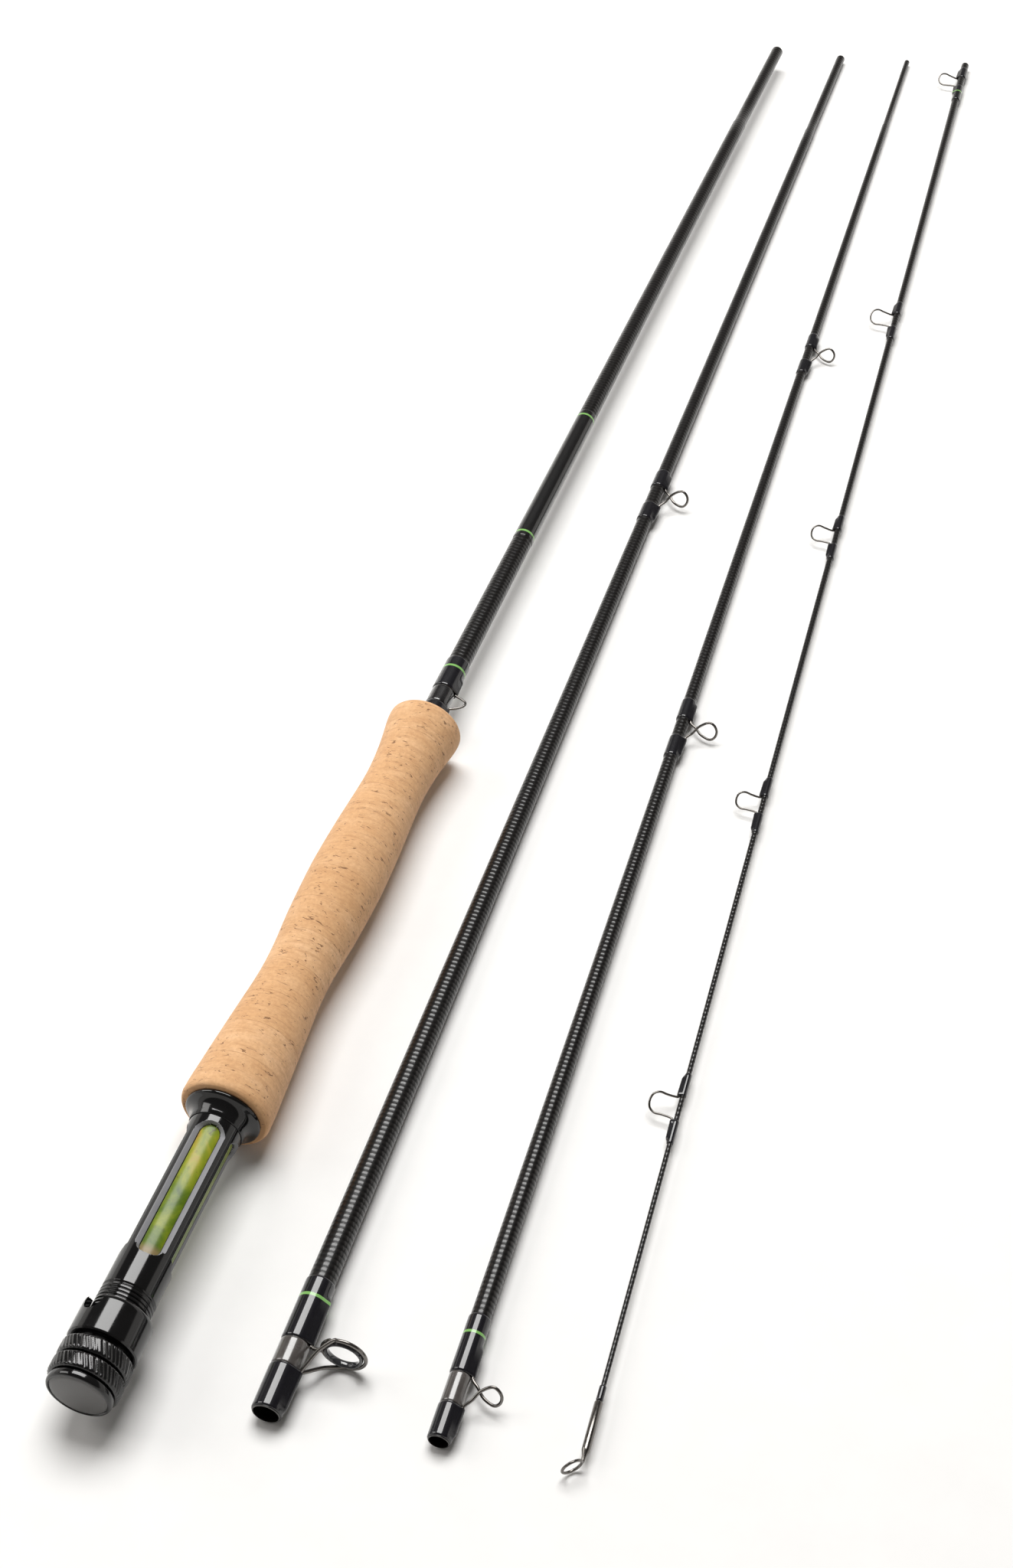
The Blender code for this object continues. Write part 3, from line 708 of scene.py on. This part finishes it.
def barrel_shape():
    """Plain part of the seat with its windows, whose bevels fade at the windows' ends."""
    stations = [BARREL_ENDS[0]]
    y = BARREL_ENDS[0] + 0.1
    while y < BARREL_ENDS[1] - 0.05:
        stations.append(y)
        near_end = min(abs(y - WINDOW_ENDS[0]), abs(y - WINDOW_ENDS[1]))
        y += 0.2 if near_end < 4.6 else 1.0
    stations.append(BARREL_ENDS[1])
    sides = 480
    rings = []
    for y in stations:
        ring = []
        for j in range(sides):
            theta = 2.0 * math.pi * j / sides
            r = BARREL_R
            d = window_distance(theta, y)
            near = min(1.0, max(0.0, (y - WINDOW_ENDS[0] - 1.9) / 0.25))
            far = min(1.0, max(0.0, (WINDOW_ENDS[1] - 0.6 - y) / 1.6))
            along = near * (0.25 + 0.75 * far)
            wide = WINDOW_END_BEVEL + (WINDOW_BEVEL - WINDOW_END_BEVEL) * along
            if d < WINDOW_LIP:
                r = WINDOW_FLOOR_R - 0.6 * min(1.0, (WINDOW_LIP - d) / 0.12)
            elif d < wide:
                rise = (d - WINDOW_LIP) / (wide - WINDOW_LIP)
                r = WINDOW_FLOOR_R + (BARREL_R - WINDOW_FLOOR_R) * rise
            ring.append((r * math.cos(theta), y, r * math.sin(theta)))
        rings.append(ring)
    rings.append(circle(BARREL_ENDS[1], BARREL_BORE, sides))
    rings.append(circle(BARREL_ENDS[0], BARREL_BORE, sides))
    return loop_rings(rings)


def thread_shape():
    """The seat's screw thread, from behind the butt cap to the plain part of the barrel."""
    sides = 96
    rings = [circle(0.4, THREAD_ROOT_R, sides)]
    steps = 420
    for i in range(steps + 1):
        y = THREAD_START + THREAD_LENGTH * i / steps
        ring = []
        for j in range(sides):
            theta = 2.0 * math.pi * j / sides
            turns = (y - THREAD_CREST) / THREAD_PITCH - j / sides
            groove = 0.5 - 0.5 * math.cos(2.0 * math.pi * turns)
            r = BARREL_R - THREAD_DEPTH * max(0.0, groove * 1.7 - 0.7)
            fade = min(1.0, max(0.0, (y - 28.2) / 0.6))
            r += (THREAD_ROOT_R - r) * fade
            ring.append((r * math.cos(theta), y, r * math.sin(theta)))
        rings.append(ring)
    shoulder = [(28.9, 7.40), (29.12, BARREL_R - 0.06), (29.25, BARREL_R), (29.32, BARREL_R),
                (29.32, THREAD_BORE), (0.4, THREAD_BORE)]
    return loop_rings(rings + [circle(y, r, sides) for y, r in shoulder])


def bevel_pick(centre, normal):
    """One on the windows' flanks, else zero."""
    r = math.hypot(centre.x, centre.z)
    return 1 if 29.5 < centre.y < 90.0 and 6.56 < r < BARREL_R - 0.05 else 0


def nut_shape(start, seed):
    """Ring nut with slanting, slightly uneven flutes round its rim."""
    # Station, radius and share of the flutes' depth.
    rim = [(0.0, 8.2, 0.0), (0.02, 9.2, 0.0), (0.18, 9.62, 0.0), (0.5, 10.0, 0.25),
           (0.85, 10.15, 0.9), (1.3, 10.15, 1.0), (1.9, 10.15, 1.0), (2.45, 10.15, 1.0),
           (3.0, 10.15, 1.0), (3.6, 10.15, 1.0), (4.05, 10.15, 0.9), (4.4, 10.0, 0.25),
           (4.72, 9.62, 0.0), (4.88, 9.2, 0.0), (NUT_LENGTH, 8.2, 0.0)]
    sides = 960
    rings = []
    for y, r, depth in rim:
        ring = []
        for j in range(sides):
            theta = 2.0 * math.pi * j / sides
            slant = theta - FLUTE_SLANT * y
            drift = 0.9 * math.sin(3.0 * slant + seed)
            shake = 0.7 * math.sin(8.0 * slant + seed)
            wave = math.cos(FLUTE_COUNT * slant + drift + shake)
            share = 0.38 * math.sin(11.0 * slant + 2.0 * seed) * math.sin(5.0 * slant + seed)
            dip = (0.5 - 0.5 * wave) ** 0.8
            rr = r - FLUTE_DEPTH * depth * dip * (0.62 + share)
            ring.append((rr * math.cos(theta), start + y, rr * math.sin(theta)))
        rings.append(ring)
    rings.append(circle(start + NUT_LENGTH, NUT_BORE, sides))
    rings.append(circle(start, NUT_BORE, sides))
    return loop_rings(rings)


def pocket_cutter(start, end, width, r_in, r_out):
    """Slot along the seat with a round near end, standing on the hood's pocket line."""
    angle = math.radians(POCKET_TURN)
    half = width * 0.5
    outline = [(half, end), (-half, end)]
    steps = 16
    for i in range(steps + 1):
        a = math.pi + math.pi * i / steps
        outline.append((half * math.cos(a), start + half + half * math.sin(a)))
    rings = []
    for r in (r_in, r_out):
        rings.append([(r * math.cos(angle) - u * math.sin(angle), y,
                       r * math.sin(angle) + u * math.cos(angle)) for u, y in outline])
    return open_rings(rings)


def carve(obj, shape):
    """Cut a shape out of a piece for good."""
    tool = new_object("carver", mesh_from("carver", shape))
    tool.matrix_world = obj.matrix_world.copy()
    mod = obj.modifiers.new("carve", "BOOLEAN")
    mod.operation = "DIFFERENCE"
    mod.solver = "EXACT"
    mod.object = tool
    bpy.context.view_layer.update()
    graph = bpy.context.evaluated_depsgraph_get()
    done = bpy.data.meshes.new_from_object(obj.evaluated_get(graph))
    obj.modifiers.clear()
    obj.data = done
    done.shade_smooth()
    done.set_sharp_from_angle(angle=math.radians(28.0))
    bpy.data.objects.remove(tool)


def build_seat():
    cap = [(-2.25, 0.01), (-2.23, 2.0), (-2.14, 4.5), (-1.98, 7.0), (-1.86, 7.9), (-1.66, 8.1),
           (-1.64, 8.25), (-1.90, 8.45), (-1.92, 8.7), (-1.75, 9.02), (-1.4, 9.25), (-0.9, 9.3),
           (-0.3, 9.3), (0.1, 9.2), (0.3, 8.9), (0.3, 0.01)]
    add("butt_cap_look", open_rings([circle(y, r, 96) for y, r in cap]), [BLACK, SATIN],
        "butt", "butt", ["butt_cap"], 40.0,
        lambda c, n: 1 if math.hypot(c.x, c.z) < 8.0 and c.y < -1.0 else 0)
    add("reel_seat_barrel_look", barrel_shape(), [BLACK, BEVEL], "butt", "butt",
        ["reel_seat_barrel"], 24.0, bevel_pick)
    add("seat_thread_look", thread_shape(), BLACK, "butt", "butt", (), 75.0)
    insert = turned([(0.7, INSERT_R), (91.0, INSERT_R)], [(0.7, INSERT_BORE), (91.0, INSERT_BORE)],
                    128)
    add("seat_insert_look", insert, BURL, "butt", "butt", ["seat_insert"])
    add("lock_nut_look", nut_shape(LOCK_NUT_START, 0.4), NUT_BLACK, "butt", "lock_nut_body",
        ["lock_nut"], 50.0)
    add("jam_nut_look", nut_shape(JAM_NUT_START, 2.1), NUT_BLACK, "butt", "jam_nut_body",
        ["jam_nut"], 50.0)

    outer = [(12.0, 8.05), (12.0, 9.3), (12.15, 9.7), (12.6, 10.0), (13.4, 10.05), (21.8, 10.05),
             (22.6, 9.95), (23.1, 9.6), (23.35, 9.1), (23.4, 8.6), (23.4, 8.05)]
    hood = add("sliding_hood_look", turned(outer, [(12.0, 7.95), (23.4, 7.95)], 128), BLACK,
               "butt", "hood", ["sliding_hood"], 28.0)
    # The reel foot's pocket under the hood's wall, then the notch through that wall.
    carve(hood, pocket_cutter(15.6, 32.0, 8.0, 5.0, 8.9))
    carve(hood, pocket_cutter(18.4, 31.0, 6.8, 5.5, 12.0))

    flare = [(86.6, 7.98), (86.75, 8.12), (88.0, 8.28), (89.2, 8.62), (90.2, 9.25), (90.9, 10.1),
             (91.3, 10.85), (91.6, 11.2), (92.0, 11.3), (92.3, 11.28), (92.5, 11.1), (92.55, 9.6),
             (103.6, 9.6)]
    bore = [(86.6, 7.92), (91.1, 7.92), (91.15, 4.05), (103.6, 4.05)]
    add("fixed_hood_look", turned(flare, bore, 128), BLACK, "butt", "butt", ["fixed_hood"],
        50.0)


def build_grip():
    """Cork rings, the first and last with a rounded lip of their own."""
    pitch = (GRIP_END - GRIP_START) / RING_COUNT
    for i in range(RING_COUNT):
        start = GRIP_START + pitch * i + 0.012
        end = GRIP_START + pitch * (i + 1) - 0.012
        stations = [start + (end - start) * k / 24 for k in range(25)]
        outer = [(y, smooth_at(GRIP_OUTLINE, y)) for y in stations]
        if i == 0:
            lip = [(start, 9.72), (start, 12.45), (start + 0.12, 12.80), (start + 0.45, 13.12),
                   (start + 0.95, 13.36)]
            outer = lip + [p for p in outer if p[0] > start + 1.6]
        if i == RING_COUNT - 1:
            lip = [(end - 1.25, 12.34), (end - 0.7, 12.28), (end - 0.25, 12.0),
                   (end - 0.03, 11.6), (end, 11.1)]
            outer = [p for p in outer if p[0] < end - 1.7] + lip
        outer[0] = (outer[0][0], outer[0][1] - 0.02)
        outer[-1] = (outer[-1][0], outer[-1][1] - 0.02)
        bore = 9.72 if start < 103.6 else 3.98
        name = "cork_ring_%02d" % (i + 1)
        add(name + "_look", turned(outer, [(start, bore), (end, bore)], 96), CORK, "butt", "butt",
            [name], 40.0)


def blank(name, table, bore, section, sides=48):
    """Tapered tube with broken edges, cut square at both ends."""
    outer = [(table[0][0], table[0][1] - 0.12)]
    for (y0, r0), (y1, r1) in zip(table, table[1:]):
        steps = max(1, int((y1 - y0) / 12.0))
        for k in range(steps):
            y = y0 + (y1 - y0) * k / steps
            outer.append((y + (0.12 if len(outer) == 1 else 0.0), r0 + (r1 - r0) * k / steps))
    outer += [(table[-1][0] - 0.12, table[-1][1]), (table[-1][0], table[-1][1] - 0.12)]
    # The end faces take the raw cut's grey, painted lighter as a highlight on the rim.
    add(name + "_look", turned(outer, bore, sides), [GRAPHITE, END], section, section,
        [name], 30.0,
        lambda c, n: 1 if abs(n.y) > 0.6 and (c.y < 0.6 or c.y > 728.4) else 0)


def add_wrap(name, table, start, end, foot_end, wire_r, section, mat=THREAD, side=1,
             wall=WRAP_WALL):
    """Thread wrap from a guide's mouth at start to end, over a foot that stops at foot_end."""
    shape = wrap_shape(table, start, end, foot_end, wire_r, side, wall)
    add(name + "_look", shape, mat, section, section, [name], 60.0)


def plain_band(name, table, start, end, mat, section, wall=0.2):
    """Band round bare blank, rounded at its ends."""
    outer = []
    steps = max(14, int((end - start) / 1.0))
    for i in range(steps + 1):
        t = i / steps
        y = start + (end - start) * (0.5 - 0.5 * math.cos(math.pi * t))
        edge = min(y - start, end - y)
        swell = math.sqrt(max(0.0, 1.0 - (1.0 - min(edge / 0.6, 1.0)) ** 2))
        outer.append((y, radius_at(table, y) + 0.02 + wall * swell))
    inner = [(start, radius_at(table, start) + 0.01), (end, radius_at(table, end) + 0.01)]
    add(name, turned(outer, inner), mat, section, section, (), 60.0)


def build_butt():
    build_seat()
    build_grip()
    blank("butt_blank", BUTT_BLANK, BUTT_BORE, "butt")

    wire_r = 0.40
    low = radius_at(BUTT_BLANK, 268.0) + FOOT_GAP + wire_r
    high = radius_at(BUTT_BLANK, 279.0) + FOOT_GAP + wire_r
    path = [(low, 263.0, 0.0), (low, 269.0, 0.0), (low + 0.5, 269.9, 0.0), (low + 2.6, 270.9, 0.0),
            (low + 4.2, 272.4, 0.0), (low + 4.5, 273.6, 0.0), (low + 4.0, 274.6, 0.0),
            (low + 2.2, 275.6, 0.0), (high + 0.4, 276.4, 0.0), (high, 277.2, 0.0),
            (high, 282.5, 0.0)]
    add("hook_keeper_look", sweep(curve(path), wire_r, 16), WIRE, "butt", "butt",
        ["hook_keeper"])
    add_wrap("keeper_wrap_near", BUTT_BLANK, 269.2, 260.0, 262.6, wire_r, "butt")
    trim = winding("winding_keeper", [(286.2, 287.1)])
    add_wrap("keeper_wrap_far", BUTT_BLANK, 276.9, 291.6, 283.0, wire_r, "butt", trim)
    plain_band("keeper_window_coat", BUTT_BLANK, 269.4, 276.7, DARK_EPOXY, "butt", 0.12)
    coat = winding("label_coat", [(361.6, 362.5), (434.1, 435.0)], (0.0026, 0.0024, 0.0026))
    plain_band("label_coat_band", BUTT_BLANK, 359.6, 437.4, coat, "butt", 0.12)


def build_snake(prefix, table, spec, side, section, near_end=None, trims=()):
    """Snake guide and its two wraps. near_end is where the near wrap stops if it is a long one."""
    centre, half_gap, wrap_len, height, wire_r = spec
    foot = wrap_len - 2.2
    points, radii = snake_path(table, centre, half_gap, foot, height, wire_r, side)
    add(prefix + "_look", sweep(points, radii), WIRE, section, section, [prefix])
    low = centre - half_gap
    high = centre + half_gap
    mat = winding("winding_" + prefix, trims) if trims else THREAD
    wall = TIP_WRAP_WALL if section == "tip" else WRAP_WALL
    add_wrap(prefix + "_wrap_near", table, low - 0.5, near_end or low - wrap_len, low - foot - 0.4,
             wire_r, section, mat, side, wall)
    add_wrap(prefix + "_wrap_far", table, high + 0.5, high + wrap_len, high + foot + 0.4,
             wire_r, section, mat, side, wall)


def build_stripper():
    """Stripping guide: ceramic ring, and a wire frame of hoop, brace and saddle."""
    ring_y = 21.0
    centre_x = 14.3
    ring_r = 5.5
    wire_r = 0.55
    profile = []
    for k in range(20):
        a = 2.0 * math.pi * k / 20
        profile.append((1.08 * math.cos(a), 0.58 + 0.56 * math.sin(a)))
    rings = []
    for j in range(96):
        a = 2.0 * math.pi * j / 96
        rings.append([(centre_x + (ring_r - depth) * math.cos(a), ring_y + along,
                       (ring_r - depth) * math.sin(a)) for along, depth in profile])
    add("stripping_guide_ring_look", loop_rings(rings), RING, "lower", "lower",
        ["stripping_guide_ring"], 60.0)

    foot_x = radius_at(LOWER_BLANK, 8.0) + FOOT_GAP + wire_r
    hoop = ring_r + wire_r + 0.08
    spread = math.radians(102.0)
    arc = []
    for i in range(25):
        a = spread - 2.0 * spread * i / 24
        arc.append((centre_x + hoop * math.cos(a), ring_y - 0.1, hoop * math.sin(a)))
    rise = [(foot_x + 0.25, 13.7, 0.35), (foot_x + 1.3, 15.0, 1.3), (foot_x + 3.8, 18.0, 3.4),
            (foot_x + 6.2, 19.7, 4.9)]
    leg = [(foot_x, 2.6, 0.0), (foot_x, 12.8, 0.0)] + rise
    back = [(x, y, -z) for x, y, z in reversed(rise)] + [(foot_x + 0.05, 13.1, -0.2)]
    hoop_shape = sweep(curve(leg + arc + back, 5), wire_r, 14)
    far_x = radius_at(LOWER_BLANK, 30.0) + FOOT_GAP + wire_r
    brace = [(far_x, 35.4, 0.0), (far_x, 22.7, 0.0), (far_x + 0.3, 21.8, 0.0),
             (far_x + 1.1, 21.3, 0.0), (far_x + 2.2, 21.1, 0.0),
             (centre_x - hoop - 0.1, ring_y + 0.1, 0.0)]
    brace_shape = sweep(curve(brace, 5), wire_r, 14)
    saddle = [(centre_x + hoop * math.cos(math.pi + a), ring_y + 0.1,
               hoop * math.sin(math.pi + a))
              for a in (math.radians(-66.0 + 6.0 * i) for i in range(23))]
    bar_shape = sweep([Vector(p) for p in saddle], wire_r * 0.93, 14)
    verts = []
    faces = []
    for part_verts, part_faces in (hoop_shape, brace_shape, bar_shape):
        faces += [tuple(i + len(verts) for i in face) for face in part_faces]
        verts = verts + part_verts
    add("stripping_guide_frame_look", (verts, faces), WIRE, "lower", "lower",
        ["stripping_guide_frame"])
    add_wrap("lower_ferrule_wrap_near", LOWER_BLANK, 13.8, 0.3, 2.0, wire_r, "lower")
    trim = winding("winding_lower_ferrule", [(34.8, 35.7)])
    add_wrap("lower_ferrule_wrap_far", LOWER_BLANK, 21.9, 41.4, 36.0, wire_r, "lower", trim)
    plain_band("lower_ferrule_window_coat", LOWER_BLANK, 13.9, 21.8, EPOXY, "lower")


def build_lower():
    blank("lower_mid_blank", LOWER_BLANK, LOWER_BORE, "lower")
    build_stripper()
    build_snake("lower_snake", LOWER_BLANK, LOWER_SNAKE, 1, "lower")


def build_upper():
    blank("upper_mid_blank", UPPER_BLANK, UPPER_BORE, "upper")
    wire_r = 0.45
    points, radii = snake_path(UPPER_BLANK, 15.3, 4.2, 7.6, 9.4, wire_r, 1)
    add("upper_ferrule_snake_look", sweep(points, radii), WIRE, "upper", "upper",
        ["upper_ferrule_snake"])
    add_wrap("upper_ferrule_wrap_near", UPPER_BLANK, 10.6, 0.3, 2.6, wire_r, "upper")
    trim = winding("winding_upper_ferrule", [(31.7, 32.5)])
    add_wrap("upper_ferrule_wrap_far", UPPER_BLANK, 20.0, 38.0, 28.0, wire_r, "upper", trim)
    plain_band("upper_ferrule_window_coat", UPPER_BLANK, 10.8, 19.8, EPOXY, "upper", 0.14)
    for i, spec in enumerate(UPPER_SNAKES):
        build_snake("upper_snake_%d" % (i + 1), UPPER_BLANK, spec, 1, "upper")


def build_tip():
    blank("tip_blank", TIP_BLANK, TIP_BORE, "tip", 32)
    for i, spec in enumerate(TIP_SNAKES):
        # The last guide stands on the socket, in one long near wrap with a trim ring.
        last = i == len(TIP_SNAKES) - 1
        build_snake("tip_snake_%d" % (i + 1), TIP_BLANK, spec, -1, "tip", 696.4 if last else None,
                    [(702.9, 703.6)] if last else ())
    plain_band("tiptop_wrap", TIP_BLANK, 20.7, 25.4, THREAD, "tip", TIP_WRAP_WALL)

    outline = [(2.75, 0.05), (2.8, 0.40), (3.4, 0.50), (4.6, 0.68), (5.4, 0.90), (6.0, 1.08),
               (6.5, 1.15), (20.2, 1.15), (20.4, 1.05), (20.4, 0.78), (8.6, 0.78), (8.6, 0.05)]
    add("tiptop_tube_look", open_rings([circle(y, r, 40) for y, r in outline]), WIRE, "tip", "tip",
        ["tiptop_tube"])
    loop_r = 2.8
    lean = Vector((-0.755, -0.656, 0.0))
    centre = Vector((-0.15, 2.485, 0.0)) + lean * loop_r
    points = []
    steps = 64
    for i in range(steps):
        a = 2.0 * math.pi * i / steps
        out = lean * math.cos(a) + Vector((0.0, 0.0, math.sin(a)))
        points.append(centre + out * loop_r)
    add("tiptop_loop_look", sweep(points, 0.40, 14, True), WIRE, "tip", "tip",
        ["tiptop_loop"])


# ---------------------------------------------------------------- stage, light and camera

def build_stage():
    half = 2.4
    mesh = bpy.data.meshes.new("floor")
    corners = [(-half, -half, 0.0), (half, -half, 0.0), (half, half, 0.0), (-half, half, 0.0)]
    mesh.from_pydata(corners, [], [(0, 1, 2, 3)])
    mesh.materials.append(paper())
    new_object("floor", mesh)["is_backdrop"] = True


def area_light(name, place, aim, width, height, power, colour):
    light = bpy.data.lights.new(name, "AREA")
    light.shape = "RECTANGLE"
    light.size = width
    light.size_y = height
    light.energy = power
    light.color = colour
    obj = new_object(name, light)
    obj.location = place
    obj.rotation_euler = (Vector(aim) - Vector(place)).to_track_quat("-Z", "Y").to_euler()


def build_light():
    area_light("softbox", (-0.28, 0.46, 1.62), (-0.28, -0.22, 0.0), 1.30, 1.0, 38.0,
               (1.0, 0.995, 0.985))
    area_light("fill_left", (-1.5, -0.2, 1.1), (0.0, 0.0, 0.0), 0.9, 0.9, 10.0,
               (1.0, 0.985, 0.96))
    world = bpy.data.worlds.new("studio")
    bpy.context.scene.world = world
    world.use_nodes = True
    # Pale walls to about eighteen degrees above the table, a dim room above them.
    walls = (0.28, (0.75, 0.725, 0.695, 1.0))
    room = (0.34, (0.095, 0.090, 0.085, 1.0))
    tree = world.node_tree
    coord = tree.nodes.new("ShaderNodeTexCoord")
    split = tree.nodes.new("ShaderNodeSeparateXYZ")
    ramp = tree.nodes.new("ShaderNodeValToRGB")
    for element, (height, colour) in zip(ramp.color_ramp.elements, (walls, room)):
        element.position = height
        element.color = colour
    back = tree.nodes["Background"]
    tree.links.new(coord.outputs["Generated"], split.inputs["Vector"])
    tree.links.new(split.outputs["Z"], ramp.inputs["Fac"])
    tree.links.new(ramp.outputs["Color"], back.inputs["Color"])
    back.inputs["Strength"].default_value = 1.0
    view = bpy.context.scene.view_settings
    view.view_transform = "Standard"
    view.look = "None"


def build_camera():
    focal_over_height = 3219.467 / 2048.0
    camera = bpy.data.cameras.new("camera")
    camera.sensor_fit = "VERTICAL"
    camera.sensor_height = 24.0
    camera.lens = focal_over_height * camera.sensor_height
    camera.clip_start = 0.01
    camera.clip_end = 20.0
    obj = new_object("camera", camera)
    obj.location = (0.16935412, -0.6565799, 0.56604686)
    obj.rotation_euler = [math.radians(a) for a in (45.14996, 1.61906, 18.55385)]
    bpy.context.scene.camera = obj


build_butt()
build_lower()
build_upper()
build_tip()
build_stage()
build_light()
build_camera()

end_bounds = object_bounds()
({name: [list(map(float, v)) if hasattr(v, "__len__") else float(v) for v in box]
           for name, box in (("start", start_bounds), ("end", end_bounds))})
